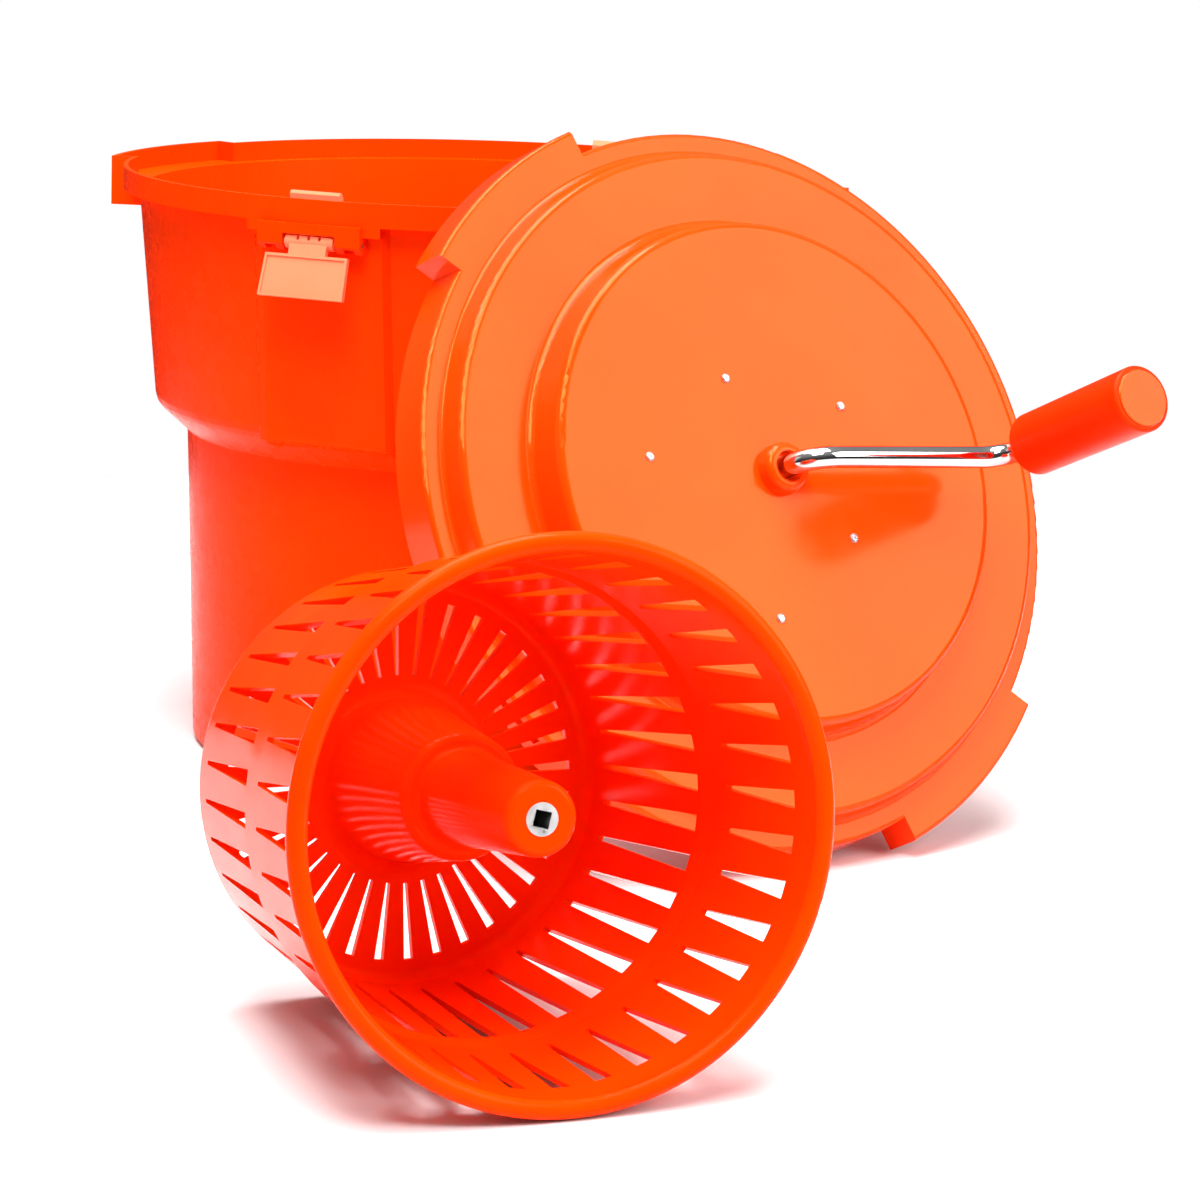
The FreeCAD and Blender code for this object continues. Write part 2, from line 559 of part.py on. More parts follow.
def fuse(name, pieces):
    whole = doc.addObject("Part::MultiFuse", name)
    whole.Shapes = pieces
    whole.Refine = True
    return whole


def cut(name, base, tool):
    result = doc.addObject("Part::Cut", name)
    result.Base = base
    result.Tool = tool
    return result


def rod(name, radius, low, high, across="0", up="0"):
    cylinder = doc.addObject("Part::Cylinder", name)
    cylinder.setExpression("Radius", cell(radius))
    cylinder.setExpression("Height", cell(f"{high} - ({low})"))
    for axis, formula in (("x", across), ("y", up), ("z", low)):
        cylinder.setExpression(f"Placement.Base.{axis}", cell(formula))
    return cylinder


def make_gearbox_housing():
    """Tray under the lid's plateau: floor, wall, screw bosses, layshaft boss and output sleeve."""
    plate_under = "plateau_rise - lid_gauge"
    outer = stadium("case_outer", "case_radius", "case_low", plate_under)
    inner = stadium("case_inner", "case_radius - case_wall", "case_low + case_floor", plate_under + " + 1")
    tray = cut("case_tray", outer, inner)
    adds = [tray, rod("case_sleeve", "sleeve_radius", "sleeve_low", "case_low + 1"),
            rod("case_layshaft_boss", "8", "case_low + 1", "4", "0", "-gear_distance")]
    holes = [rod("case_sleeve_bore", "sleeve_radius - 3", "sleeve_low - 1", "case_low + case_floor + 1"),
             rod("case_layshaft_bore", "layshaft_radius", "case_low + 1.5", "5", "0", "-gear_distance")]
    for number, (across, up) in enumerate(spots(SCREW_SPOTS)):
        adds.append(rod(f"screw_boss_{number}", "screw_boss_radius", "case_low + 1", plate_under,
                        across, up))
        holes.append(rod(f"screw_bore_{number}", "1.55", "16", "40", across, up))
    housing = cut("gearbox_housing", fuse("case_solid", adds), fuse("case_holes", holes))
    return finish(housing, "gearbox_housing", on_lid)


make_gearbox_housing()


def make_gearbox_screws():
    """Pan-head screws with a cross recess, through the lid's plateau."""
    body = new_body("lid_screw")
    shank = [("0", "18"), ("1.5", "18"), ("1.5", "plateau_rise"), ("2.8", "plateau_rise"),
             ("2.6", "plateau_rise + 0.8"), ("1.6", "plateau_rise + 1.2"), ("0", "plateau_rise + 1.2")]
    turn(body, "Revolution", "screw_turn", outline(body, "screw_profile", "XZ_Plane", [shank]))
    above = Placement(Vector(0, 0, size("plateau_rise") + 2), Rotation())
    wide, thin = "1.5", "0.32"
    cross = [(wide, thin), (thin, thin), (thin, wide),
             ("-" + thin, wide), ("-" + thin, thin), ("-" + wide, thin),
             ("-" + wide, "-" + thin), ("-" + thin, "-" + thin), ("-" + thin, "-" + wide),
             (thin, "-" + wide), (thin, "-" + thin), (wide, "-" + thin)]
    sketch = outline(body, "screw_cross_profile", "XY_Plane", [cross], above)
    extrude(body, "Pocket", "screw_cross", sketch, "1.9")
    places = []
    for number, (across, up) in enumerate(SCREW_SPOTS):
        quarter = Rotation(Vector(0, 0, 1), 25.0 * number)
        places.append(on_lid.multiply(Placement(Vector(across, up, 0), quarter)))
    return group("gearbox_screws", body, places)


make_gearbox_screws()

# bushes, pins and shafts in the lid
turned("crank_bush", [("rod_radius + running_gap", "30.3"), ("13", "30.3"), ("13", "33.5"),
                      ("boss_hole_radius", "33.5"), ("boss_hole_radius", "41"),
                      ("rod_radius + running_gap", "41")], on_lid)
turned("output_bush", [("shaft_journal_radius + running_gap", "sleeve_low"),
                       ("sleeve_radius - 3", "sleeve_low"),
                       ("sleeve_radius - 3", "1"), ("sleeve_radius", "1"), ("sleeve_radius", "2.5"),
                       ("shaft_journal_radius + running_gap", "2.5")], on_lid)
turned("layshaft_pin", tube("0", "layshaft_radius", "-0.5", "33.4"), on_layshaft)


# ---------------------------------------------------------------- gears


def gear_outline(teeth, first_tooth):
    """Involute gear outline; a tooth is centred on the angle first_tooth (radians)."""
    module = size("gear_module")
    pressure = math.radians(size("pressure_angle"))
    pitch = module * teeth / 2
    base = pitch * math.cos(pressure)
    tip = pitch + 0.95 * module
    root = pitch - 1.2 * module
    half_tooth = math.pi / (2 * teeth) - size("gear_backlash") / (2 * pitch)
    involute = math.tan(pressure) - pressure

    def half_width(radius):
        """Half the tooth's angle at a radius."""
        angle = math.acos(min(1.0, base / radius))
        return half_tooth + involute - (math.tan(angle) - angle)

    start = max(base, root)
    steps = 6
    radii = [start + (tip - start) * k / steps for k in range(steps + 1)]
    flank = [(radius, half_width(radius)) for radius in radii]
    if root < start:
        flank.insert(0, (root, half_width(start)))
    points = []
    for tooth in range(teeth):
        middle = first_tooth + math.tau * tooth / teeth
        sides = [(radius, middle - half) for radius, half in flank]
        sides += [(radius, middle + half) for radius, half in reversed(flank)]
        points += [Vector(radius * math.cos(angle), radius * math.sin(angle), 0) for radius, angle in sides]
    return points + points[:1]


def gear_solid(teeth, first_tooth, low, high):
    face = Part.Face(Part.makePolygon(gear_outline(int(teeth), first_tooth)))
    face.translate(Vector(0, 0, low))
    return face.extrude(Vector(0, 0, high - low))


def ring_solid(radius, low, high):
    return Part.makeCylinder(radius, high - low, Vector(0, 0, low))


def square_solid(side, low, high):
    return Part.makeBox(side, side, high - low, Vector(-side / 2, -side / 2, low))


def make_gear(label, shape, placement):
    """A gear is cut from its involute outline, which no sketch of the sheet's cells gives."""
    gear = doc.addObject("Part::Feature", label)
    gear.Shape = shape
    return finish(gear, label, placement)


DOWN = -math.pi / 2         # from the lid's axis towards the layshaft
UP = math.pi / 2            # from the layshaft back to the lid's axis


def make_gears():
    low, high = size("input_low"), size("input_high")
    shape = gear_solid(size("input_teeth"), DOWN, low, high)
    square = square_solid(size("rod_square") + 0.1, low - 1, high + 1)
    square.rotate(Vector(0, 0, 0), Vector(0, 0, 1), LAYOUT["crank_turn"] - LAYOUT["lug_turn"])
    make_gear("input_gear", shape.cut(square), on_lid)

    pinion_teeth = size("pinion_teeth")
    pinion = gear_solid(pinion_teeth, UP + math.pi / pinion_teeth, low - 1, high + 0.7)
    wheel = gear_solid(size("cluster_teeth"), UP, size("output_low") + 1.3, size("output_high"))
    middle = ring_solid(10.5, size("output_high") - 1, low)
    shape = pinion.fuse([wheel, middle])
    bore = ring_solid(size("layshaft_radius") + size("running_gap"), 0, 40)
    make_gear("layshaft_gear", shape.cut(bore), on_layshaft)

    teeth = size("output_teeth")
    low, high = size("output_low"), size("output_high")
    shape = gear_solid(teeth, DOWN + math.pi / teeth, low, high)
    make_gear("output_pinion", shape.cut(square_solid(size("drive_square") + 0.1, low - 1, high + 1)),
              on_lid)


make_gears()


def square_post(name, side, low, high):
    box = doc.addObject("Part::Box", name)
    box.setExpression("Length", cell(side))
    box.setExpression("Width", cell(side))
    box.setExpression("Height", cell(f"{high} - ({low})"))
    box.setExpression("Placement.Base.x", cell(f"-({side}) / 2"))
    box.setExpression("Placement.Base.y", cell(f"-({side}) / 2"))
    box.setExpression("Placement.Base.z", cell(low))
    return box


def make_drive_shaft():
    """Square shaft with a round journal and a groove for the circlip."""
    square = square_post("drive_square_bar", "drive_square", "drive_low", "output_high + 0.4")
    journal = rod("drive_journal", "shaft_journal_radius", "sleeve_low - 2.4", "2.8")
    whole = fuse("drive_shaft_blank", [square, journal])
    groove_outer = rod("drive_groove_outer", "10", "sleeve_low - 1.4", "sleeve_low - 0.3")
    groove_inner = rod("drive_groove_inner", "6", "sleeve_low - 2", "sleeve_low")
    groove = cut("drive_groove", groove_outer, groove_inner)
    return finish(cut("drive_shaft", whole, groove), "drive_shaft", on_lid)


make_drive_shaft()


def split_ring(label, inner, outer, low, high, gap, placement):
    """Snap ring: a flat ring with a gap."""
    body = new_body(label)
    ring = outline(body, label + "_profile", "XZ_Plane", [tube(inner, outer, low, high)])
    turn(body, "Revolution", label + "_turn", ring)
    cut_out = tube("0", f"{outer} + 1", f"-({gap}) / 2", f"({gap}) / 2")
    sketch = outline(body, label + "_gap_profile", "XY_Plane", [cut_out],
                     Placement(Vector(0, 0, 200), Rotation()))
    extrude(body, "Pocket", label + "_gap", sketch, "400")
    return finish(body, label, placement)


split_ring("shaft_circlip", "6.05", "10", "sleeve_low - 1.35", "sleeve_low - 0.35", "5", on_lid)


# ---------------------------------------------------------------- crank and grip


def bend(name, up, across, first_angle):
    """A quarter bend of the crank rod in the crank's XZ plane."""
    torus = doc.addObject("Part::Torus", name)
    torus.setExpression("Radius1", cell("bend_radius"))
    torus.setExpression("Radius2", cell("rod_radius"))
    torus.Angle3 = 90
    stand = Rotation(Vector(1, 0, 0), 90)
    place = Placement(Vector(0, 0, 0), stand.multiply(Rotation(Vector(0, 0, 1), first_angle)))
    torus.Placement = place
    torus.setExpression("Placement.Base.x", cell(across))
    torus.setExpression("Placement.Base.z", cell(up))
    return torus


def make_crank_rod():
    """Bright steel rod: square end in the gear, journal, arm and grip spindle with a tapped end."""
    square = square_post("crank_square", "rod_square", "input_low", "input_high + 1")
    journal = rod("crank_journal", "rod_radius", "input_high", "arm_rise - bend_radius")
    first = bend("crank_first_bend", "arm_rise - bend_radius", "bend_radius", 90)
    arm = doc.addObject("Part::Cylinder", "crank_arm")
    arm.setExpression("Radius", cell("rod_radius"))
    arm.setExpression("Height", cell("crank_radius - 2 * bend_radius"))
    arm.Placement = Placement(Vector(0, 0, 0), Rotation(Vector(0, 1, 0), 90))
    arm.setExpression("Placement.Base.x", cell("bend_radius"))
    arm.setExpression("Placement.Base.z", cell("arm_rise"))
    second = bend("crank_second_bend", "arm_rise + bend_radius", "crank_radius - bend_radius", 270)
    spindle_top = "grip_high - grip_recess + 0.2"
    spindle = rod("grip_spindle", "rod_radius", "arm_rise + bend_radius", spindle_top, "crank_radius")
    whole = fuse("crank_blank", [square, journal, first, arm, second, spindle])
    lower_tap = rod("gear_screw_hole", "2.5", "input_low - 1", "input_low + 12")
    upper_tap = rod("grip_screw_hole", "2.5", spindle_top + " - 14", spindle_top + " + 1", "crank_radius")
    groove_outer = rod("ring_groove_outer", "9", "grip_low - 1.6", "grip_low - 0.5", "crank_radius")
    groove_inner = rod("ring_groove_inner", "rod_radius - 0.9", "grip_low - 2", "grip_low", "crank_radius")
    groove = cut("ring_groove", groove_outer, groove_inner)
    tools = fuse("crank_cuts", [lower_tap, upper_tap, groove])
    return finish(cut("crank_rod", whole, tools), "crank_rod", on_crank)


make_crank_rod()


def screw(head_radius, head_end, head_seat, tip):
    """Profile of a round-headed screw; its tip may be above or below its head."""
    return [("0", head_end), (head_radius, head_end), (head_radius, head_seat), ("2.45", head_seat),
            ("2.45", tip), ("0", tip)]


turned("gear_washer", tube("2.6", "9", "input_low - 1.4", "input_low"), on_crank)
turned("gear_screw", screw("4.4", "input_low - 4.6", "input_low - 1.4", "input_low + 11"), on_crank)
split_ring("grip_ring", "rod_radius - 0.85", "9.4", "grip_low - 1.55", "grip_low - 0.55", "4", on_grip)
turned("grip_washer", tube("2.6", "11", "grip_high - 13.8", "grip_high - 12.4"), on_grip)
turned("grip_screw", screw("4.6", "grip_high - 8.4", "grip_high - 12.4", "grip_high - 26"), on_grip)


def make_grip():
    """Turning grip: a thick sleeve with rounded ends and a recess under its end cap."""
    body = new_body("crank_grip")
    bore = "rod_radius + running_gap"
    sleeve = [(bore, "grip_low"), ("grip_radius - 1", "grip_low"), ("grip_radius", "grip_high"),
              ("grip_recess_radius + 2", "grip_high"), ("grip_recess_radius + 2", "grip_high - cap_gauge"),
              ("grip_recess_radius", "grip_high - cap_gauge"),
              ("grip_recess_radius", "grip_high - grip_recess"),
              (bore, "grip_high - grip_recess")]
    turn(body, "Revolution", "grip_turn", outline(body, "grip_profile", "XZ_Plane", [sleeve]))
    round_circles(body, "grip_round", "2.2", [(size("grip_radius") - 1, size("grip_low")),
                                              (size("grip_radius"), size("grip_high"))])
    return finish(body, "crank_grip", on_grip)


make_grip()
turned("grip_end_cap", [("0", "grip_high - cap_gauge"),
                        ("grip_recess_radius + 1.9", "grip_high - cap_gauge"),
                        ("grip_recess_radius + 1.9", "grip_high + 0.4"),
                        ("grip_recess_radius + 1.3", "grip_high + 1"),
                        ("0", "grip_high + 1")], on_grip)


# ---------------------------------------------------------------- basket
# In the basket's own frame Z is its axis, Z = 0 is the underside of its base, and the mouth is up.


def make_basket():
    body = new_body("basket_shell")
    wall = "basket_rim_radius - 2 * bead_radius"
    outside = [
        ("0", "0"), ("basket_base_radius", "0"), ("basket_base_radius + drum_flare", "drum_step"),
        ("basket_base_radius + drum_flare + 2.5", "drum_step + 1.5"),
        (wall + " + basket_wall", "basket_height - 6"),
        (wall + " + basket_wall", "basket_height - 3"), ("0", "basket_height - 3")]
    turn(body, "Revolution", "basket_outside",
         outline(body, "basket_outside_profile", "XZ_Plane", [outside]))
    round_circles(body, "basket_base_round", "basket_corner", [(size("basket_base_radius"), 0.0)])
    bead = circles(body, "bead_profile", "XZ_Plane",
                   [("basket_rim_radius - bead_radius", "basket_height - bead_radius")], "bead_radius")
    turn(body, "Revolution", "rim_bead", bead)
    inside = [
        ("0", "basket_floor"), ("basket_base_radius - basket_wall - 1", "basket_floor"),
        ("basket_base_radius + 8", "drum_step + 2"), ("basket_base_radius + 10.7", "drum_step + 10"),
        (wall, "basket_height - 8"), (wall, "basket_height + 1"), ("0", "basket_height + 1")]
    turn(body, "Groove", "basket_inside", outline(body, "basket_inside_profile", "XZ_Plane", [inside]))
    floor_edge = size("basket_base_radius") - size("basket_wall") - 1
    round_circles(body, "basket_inner_round", "6", [(floor_edge, size("basket_floor"))])

    # central column, hollow from below
    column = [("0", "1"), ("column_base_radius", "1"), ("column_base_radius", "basket_floor"),
              ("column_shoulder_radius", "column_shoulder"), ("column_neck_radius", "column_shoulder"),
              ("column_tip_radius", "column_height"), ("0", "column_height")]
    turn(body, "Revolution", "column", outline(body, "column_profile", "XZ_Plane", [column]))
    round_circles(body, "column_tip_round", "4", [(size("column_tip_radius"), size("column_height"))])
    round_circles(body, "column_shoulder_round", "5",
                  [(size("column_shoulder_radius"), size("column_shoulder"))])
    round_circles(body, "column_neck_round", "3", [(size("column_neck_radius"), size("column_shoulder"))])
    round_circles(body, "column_foot_round", "9", [(size("column_base_radius"), size("basket_floor"))])
    hollow = [("0", "-1"), ("column_base_radius - 3.5", "-1"), ("column_base_radius - 3.5", "8"),
              ("column_shoulder_radius - 3.2", "column_shoulder - 8"),
              ("column_neck_radius - 3.2", "column_shoulder"),
              ("column_tip_radius - 3", "column_height - socket_length - 6"),
              ("0", "column_height - socket_length - 6")]
    turn(body, "Groove", "column_hollow", outline(body, "column_hollow_profile", "XZ_Plane", [hollow]))
    seat = tube("0", "socket_radius", "column_height - socket_length", "column_height + 1")
    turn(body, "Groove", "socket_seat", outline(body, "socket_seat_profile", "XZ_Plane", [seat]))

    # drain slots: wedges in two rows through the wall, and spokes through the floor
    outward = Placement(Vector(0, 0, 70), Rotation())
    low_row = [("-1", "21"), ("1", "21"), ("4.2", "drum_step - 1"), ("-4.2", "drum_step - 1")]
    high_row = [("-1", "139"), ("1", "139"), ("4.4", "204"), ("-4.4", "204")]
    sketch = outline(body, "wall_slot_profile", "YZ_Plane", [low_row, high_row], outward)
    wall_slots = extrude(body, "Pocket", "wall_slots", sketch, "80", reverse=True)
    spoke = [("52.3", "-1"), ("91", "-2.4"), ("91", "2.4"), ("52.3", "1")]
    sketch = outline(body, "floor_slot_profile", "XY_Plane", [spoke],
                     Placement(Vector(0, 0, 6), Rotation()))
    floor_slots = extrude(body, "Pocket", "floor_slots", sketch, "8")
    doc.recompute()
    pattern = body.newObject("PartDesign::PolarPattern", "slot_pattern")
    pattern.Originals = [wall_slots, floor_slots]
    pattern.Axis = (sketch, ["N_Axis"])
    pattern.Angle = 360
    pattern.setExpression("Occurrences", cell("slot_count"))
    body.Tip = pattern
    return finish(body, "basket_shell", in_basket)


make_basket()


def make_drive_socket():
    body = new_body("drive_socket")
    plug = tube("0", "socket_radius", "column_height - socket_length", "column_height + 0.4")
    turn(body, "Revolution", "socket_turn", outline(body, "socket_profile", "XZ_Plane", [plug]))
    above = Placement(Vector(0, 0, size("column_height") + 1), Rotation())
    half = "socket_square / 2"
    square = tube("-" + half, half, "-" + half, half)
    sketch = outline(body, "socket_square_profile", "XY_Plane", [square], above)
    extrude(body, "Pocket", "socket_hole", sketch, "socket_length - 2")
    return finish(body, "drive_socket", basket_place(LAYOUT["socket_turn"]))


make_drive_socket()
turned("basket_hub", [("bush_radius + running_gap", "0"), ("hub_radius", "0"), ("hub_radius", "4"),
                      ("hub_tube_radius", "4"), ("hub_tube_radius", "hub_height"),
                      ("bush_radius + running_gap", "hub_height")], in_basket)
turned("pivot_bush", [("pivot_radius + running_gap", "-2"), ("12", "-2"), ("12", "-0.3"),
                      ("bush_radius", "-0.3"),
                      ("bush_radius", "hub_height + 0.4"), ("bush_radius - 0.8", "hub_height + 0.4"),
                      ("bush_radius - 0.8", "hub_height + 1.5"), ("bush_radius", "hub_height + 1.5"),
                      ("bush_radius", "hub_height + 3"), ("pivot_radius + running_gap", "hub_height + 3")],
       in_basket)
split_ring("bush_circlip", "bush_radius - 0.75", "12", "hub_height + 0.45", "hub_height + 1.45", "5",
           in_basket)


# ---------------------------------------------------------------- check and write

doc.recompute()
faults = [item.Name for item in doc.Objects if "Invalid" in item.State or "Error" in item.State]
if faults:
    raise RuntimeError("failed objects: " + ", ".join(faults))
os.makedirs("parts", exist_ok=True)
for part in parts:
    if part.Shape.isNull() or not part.Shape.isValid() or not part.Shape.Solids:
        raise RuntimeError("bad shape: " + part.Label)
for part in parts:
    part.Shape.exportStep(f"parts/{part.Label}.step")
    print(part.Label, len(part.Shape.Solids), "solid(s)", round(part.Shape.Volume / 1000, 2), "cm3")
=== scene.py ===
import math

import bpy
from mathutils import Matrix, Vector


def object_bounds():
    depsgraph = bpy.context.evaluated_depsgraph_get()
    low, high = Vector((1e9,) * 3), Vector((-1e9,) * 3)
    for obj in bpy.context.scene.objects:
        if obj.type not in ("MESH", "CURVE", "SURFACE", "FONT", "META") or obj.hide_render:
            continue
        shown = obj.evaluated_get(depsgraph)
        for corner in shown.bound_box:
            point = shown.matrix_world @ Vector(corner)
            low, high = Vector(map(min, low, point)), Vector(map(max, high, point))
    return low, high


# Looks of a crank salad spinner taken apart: tub, leaning lid with its crank, and basket on its side.
# Lengths are in metres and angles in radians.

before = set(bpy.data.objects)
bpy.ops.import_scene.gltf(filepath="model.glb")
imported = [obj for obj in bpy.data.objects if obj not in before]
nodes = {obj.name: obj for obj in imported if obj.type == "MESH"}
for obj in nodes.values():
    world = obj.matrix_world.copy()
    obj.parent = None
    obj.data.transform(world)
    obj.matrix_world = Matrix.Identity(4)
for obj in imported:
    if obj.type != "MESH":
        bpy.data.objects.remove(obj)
scene = bpy.context.scene
cad_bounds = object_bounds()
centre = Vector([(low + high) / 2 for low, high in zip(*cad_bounds)])

# Camera: it looks at the object from in front, across the tub's axis.
CAMERA_DISTANCE = 2.7
CAMERA_HEIGHT = 0.6171
CAMERA_YAW = 0.0312
CAMERA_PITCH = 0.1929
CAMERA_ROLL = 0.0315
CAMERA_LENS_MM = 131.6
CAMERA_SENSOR_MM = 36.0
CAMERA_FAR = 100.0

# Floor: a round of pale paper, a hair below the object's feet.
FLOOR_RADIUS = 1.3
FLOOR_DROP = 0.0005
FLOOR_SIDES = 96
FLOOR_ROUGHNESS = 0.9
FLOOR_LIT = (0.68, 0.68, 0.68)
FLOOR_DEEP = (0.65, 0.65, 0.65)

# Soft boxes: place relative to the object's centre, width and height, and power in watts.
LIGHTS = {
    "key": ((2.2, -0.9, 1.2), (1.7, 1.7), 66),
    "front": ((-0.3, -2.1, 2.9), (1.6, 1.0), 95),
    "top": ((-0.2, -0.1, 2.3), (1.8, 1.8), 150),
    "left_fill": ((-2.4, -0.6, 1.0), (1.0, 1.6), 4),
}

# Room: grey level by height, from the horizon (0) to straight up (1).
ROOM_LEVELS = ((0.0, 0.04), (0.03, 0.06), (0.3, 0.1), (0.6, 0.35), (1.0, 0.6))
BACKDROP_WHITE = (1.0, 1.0, 1.0, 1.0)


# ---------------------------------------------------------------- materials


class Shader:
    """A node material with one Principled shader and short calls for its texture nodes."""

    def __init__(self, name):
        self.material = bpy.data.materials.new(name)
        self.material.use_nodes = True
        self.tree = self.material.node_tree
        self.surface = self.tree.nodes["Principled BSDF"]
        self.place = self.add("ShaderNodeTexCoord").outputs["Object"]

    def add(self, kind):
        return self.tree.nodes.new(kind)

    def link(self, source, target):
        self.tree.links.new(source, target)

    def drive(self, name, source):
        """Feeds one of the Principled shader's sockets from a texture."""
        self.link(source, self.surface.inputs[name])

    def set(self, **values):
        """Constants on the Principled shader's own sockets."""
        for name, value in values.items():
            self.surface.inputs[name.replace("_", " ")].default_value = value

    def noise(self, scale, detail=3.0, stretch=None, roughness=0.5):
        node = self.add("ShaderNodeTexNoise")
        node.inputs["Scale"].default_value = scale
        node.inputs["Detail"].default_value = detail
        node.inputs["Roughness"].default_value = roughness
        place = self.place
        if stretch:
            mapping = self.add("ShaderNodeMapping")
            mapping.inputs["Scale"].default_value = stretch
            self.link(place, mapping.inputs["Vector"])
            place = mapping.outputs["Vector"]
        self.link(place, node.inputs["Vector"])
        return node.outputs["Fac"]

    def span(self, source, low, high, start=0.3, end=0.7):
        """Maps a texture from start..end onto low..high."""
        node = self.add("ShaderNodeMapRange")
        for name, value in (("From Min", start), ("From Max", end), ("To Min", low), ("To Max", high)):
            node.inputs[name].default_value = value
        self.link(source, node.inputs["Value"])
        return node.outputs["Result"]

    def blend(self, factor, first, second):
        """Mix of two colours, each a colour or a socket."""
        node = colour_mix(self.tree)
        self.link(factor, node.inputs["Factor"])
        for socket, value in zip(colour_sockets(node.inputs), (first, second)):
            if isinstance(value, tuple):
                socket.default_value = (*value, 1.0)
            else:
                self.link(value, socket)
        return colour_sockets(node.outputs)[0]

    def bump(self, height, distance, strength, normal=None):
        node = self.add("ShaderNodeBump")
        node.inputs["Distance"].default_value = distance
        node.inputs["Strength"].default_value = strength
        self.link(height, node.inputs["Height"])
        if normal is not None:
            self.link(normal, node.inputs["Normal"])
        return node.outputs["Normal"]


def colour_mix(tree):
    node = tree.nodes.new("ShaderNodeMix")
    node.data_type = "RGBA"
    return node


def colour_sockets(sockets):
    return [socket for socket in sockets if socket.type == "RGBA"]


def moulded_plastic(name, lit, deep, roughness, ior=1.3, sheen=(1.0, 0.5, 0.15)):
    """Injection-moulded plastic: a faint cloudiness in the colour, a fine peel and rubbed patches."""
    shader = Shader(name)
    cloud = shader.span(shader.noise(9.0, 4.0), 0.0, 1.0)
    shader.drive("Base Color", shader.blend(cloud, lit, deep))
    rubbed = shader.noise(60.0, 4.0, None, 0.6)
    shader.drive("Roughness", shader.span(rubbed, roughness - 0.03, roughness + 0.05))
    waves = shader.bump(shader.noise(24.0, 2.0), 0.0005, 0.15)
    shader.drive("Normal", shader.bump(shader.noise(900.0, 2.0), 0.00004, 0.2, waves))
    shader.set(IOR=ior, Specular_Tint=(*sheen, 1.0))
    return shader.material


def metal(name, colour, roughness, scratch, stretch=(1.0, 1.0, 1.0), painted_shade_width=None):
    """Bare metal with fine scratches drawn out along stretch, and with painted shade, near-black, in
    hollows of a given width.
    """
    shader = Shader(name)
    marks = shader.noise(260.0, 4.0, stretch, 0.7)
    dull = shader.noise(30.0, 3.0)
    dark = tuple(channel * 0.86 for channel in colour)
    shade = shader.blend(shader.span(dull, 0.0, 1.0), colour, dark)
    # Painted shade: an ambient-occlusion mask blends the colour to near-black inside hollows, where shade
    # falls.
    if painted_shade_width:
        hollow_shade_mask = shader.add("ShaderNodeAmbientOcclusion")
        hollow_shade_mask.samples = 8
        hollow_shade_mask.inputs["Distance"].default_value = painted_shade_width
        open_part = shader.span(hollow_shade_mask.outputs["AO"], 0.0, 1.0, 0.35, 0.75)
        shade = shader.blend(open_part, (0.02, 0.015, 0.01), shade)
    shader.drive("Base Color", shade)
    shader.drive("Roughness", shader.span(marks, roughness * 0.7, roughness * 1.4))
    shader.drive("Normal", shader.bump(marks, 0.00003, scratch))
    shader.set(Metallic=1.0)
    return shader.material


def paint(material, *names):
    for name in names:
        for slot in nodes[name].material_slots:
            slot.material = material


def paint_object():
    """Every CAD node gets the material of what it is made of."""
    paint(moulded_plastic("tub_plastic", (1.0, 0.042, 0.0), (0.97, 0.032, 0.0), 0.26, 1.12), "tub_shell")
    paint(moulded_plastic("lid_plastic", (1.0, 0.045, 0.001), (0.98, 0.036, 0.0), 0.14, 1.36,
                          (1.0, 0.55, 0.15)),
          "lid_cover", "gearbox_housing", "crank_bush", "grip_end_cap")
    paint(moulded_plastic("basket_plastic", (1.0, 0.046, 0.0), (0.97, 0.030, 0.0), 0.18, 1.16),
          "basket_shell", "basket_hub")
    paint(moulded_plastic("grip_plastic", (1.0, 0.028, 0.0), (0.97, 0.018, 0.0), 0.4, 1.25), "crank_grip")
    paint(moulded_plastic("latch_plastic", (1.0, 0.22, 0.11), (0.98, 0.19, 0.09), 0.4),
          "latch_front", "latch_rear")
    paint(moulded_plastic("gear_plastic", (0.82, 0.79, 0.7), (0.74, 0.71, 0.62), 0.45),
          "input_gear", "layshaft_gear", "output_pinion")
    paint(metal("chrome", (0.55, 0.54, 0.53), 0.09, 0.1), "crank_rod")
    paint(metal("brass", (0.75, 0.53, 0.24), 0.3, 0.4), "output_bush", "pivot_bush")
    # The drive socket gets painted shade, near-black, inside its hole.
    paint(metal("socket_steel", (0.9, 0.9, 0.9), 0.35, 0.4, painted_shade_width=0.008), "drive_socket")
    paint(metal("steel", (0.62, 0.62, 0.63), 0.28, 0.5, (1.0, 1.0, 8.0)),
          "pivot_pin", "latch_pins", "layshaft_pin", "gear_washer", "gear_screw", "grip_ring",
          "grip_washer", "grip_screw", "gearbox_screws", "drive_shaft", "shaft_circlip", "bush_circlip")


# ---------------------------------------------------------------- floor, light and camera


def make_floor():
    shader = Shader("floor_paper")
    tone = shader.span(shader.noise(6.0, 3.0), 0.0, 1.0)
    shader.drive("Base Color", shader.blend(tone, FLOOR_LIT, FLOOR_DEEP))
    shader.set(Roughness=FLOOR_ROUGHNESS)
    bpy.ops.mesh.primitive_circle_add(vertices=FLOOR_SIDES, radius=FLOOR_RADIUS, fill_type="NGON",
                                      location=(centre.x, centre.y, -FLOOR_DROP))
    floor = bpy.context.object
    floor.name = "floor"
    floor.data.materials.append(shader.material)


def make_light(name, place, size, power):
    """A soft box aimed at the object's centre."""
    data = bpy.data.lights.new(name, "AREA")
    data.shape = "RECTANGLE"
    data.size, data.size_y = size
    data.energy = power
    light = bpy.data.objects.new(name, data)
    scene.collection.objects.link(light)
    light.location = centre + Vector(place)
    light.rotation_euler = (centre - light.location).to_track_quat("-Z", "Y").to_euler()


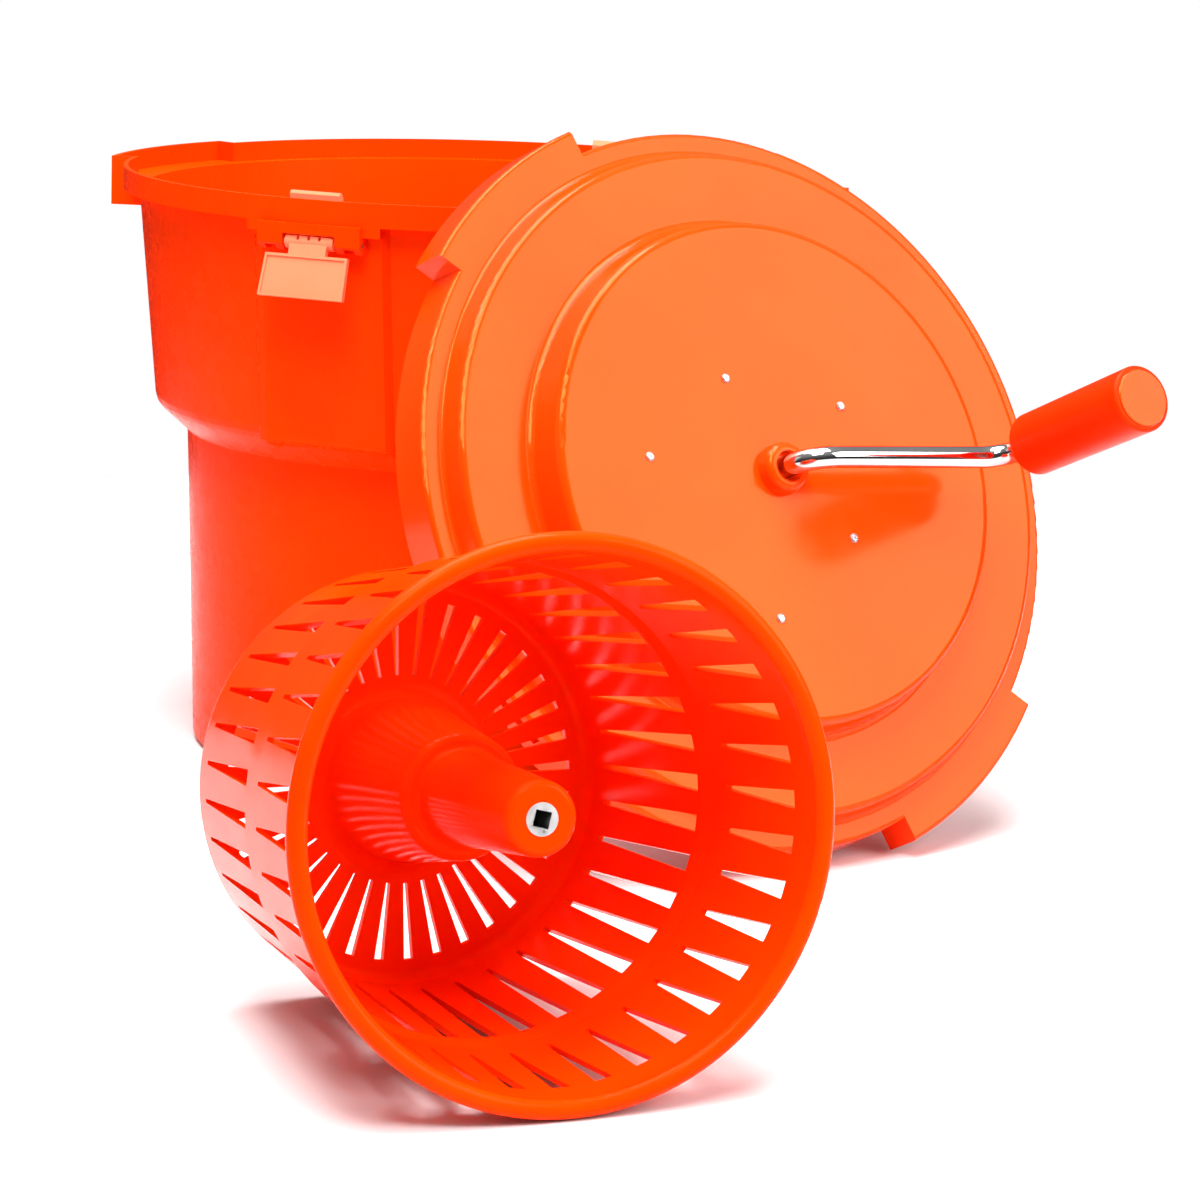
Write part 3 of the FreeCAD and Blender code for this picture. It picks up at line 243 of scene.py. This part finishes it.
def make_world():
    """A studio that is white behind the object and darker towards the horizon in reflections."""
    world = bpy.data.worlds.new("studio")
    scene.world = world
    world.use_nodes = True
    tree = world.node_tree
    direction = tree.nodes.new("ShaderNodeTexCoord")
    axes = tree.nodes.new("ShaderNodeSeparateXYZ")
    tree.links.new(direction.outputs["Generated"], axes.inputs["Vector"])
    room = tree.nodes.new("ShaderNodeValToRGB")
    stops = room.color_ramp.elements
    while len(stops) < len(ROOM_LEVELS):
        stops.new(0.5)
    for stop, (height, level) in zip(stops, ROOM_LEVELS):
        stop.position = height
        stop.color = (level, level, level, 1.0)
    tree.links.new(axes.outputs["Z"], room.inputs["Fac"])
    choice = colour_mix(tree)
    in_reflection, behind = colour_sockets(choice.inputs)
    behind.default_value = BACKDROP_WHITE
    path = tree.nodes.new("ShaderNodeLightPath")
    tree.links.new(path.outputs["Is Camera Ray"], choice.inputs["Factor"])
    tree.links.new(room.outputs["Color"], in_reflection)
    tree.links.new(colour_sockets(choice.outputs)[0], tree.nodes["Background"].inputs["Color"])


def make_camera():
    forward = Vector((math.sin(CAMERA_YAW) * math.cos(CAMERA_PITCH),
                      math.cos(CAMERA_YAW) * math.cos(CAMERA_PITCH), -math.sin(CAMERA_PITCH)))
    right = forward.cross(Vector((0, 0, 1))).normalized()
    right.rotate(Matrix.Rotation(-CAMERA_ROLL, 3, forward))
    up = right.cross(forward)
    data = bpy.data.cameras.new("camera")
    data.sensor_width = CAMERA_SENSOR_MM
    data.lens = CAMERA_LENS_MM
    data.clip_end = CAMERA_FAR
    camera = bpy.data.objects.new("camera", data)
    scene.collection.objects.link(camera)
    turn = Matrix((right, up, -forward)).transposed().to_4x4()
    camera.matrix_world = Matrix.Translation((0.0, -CAMERA_DISTANCE, CAMERA_HEIGHT)) @ turn
    scene.camera = camera


paint_object()
make_floor()
for light_name, (light_place, light_size, light_power) in LIGHTS.items():
    make_light(light_name, light_place, light_size, light_power)
make_world()
make_camera()
scene.view_settings.view_transform = "Standard"
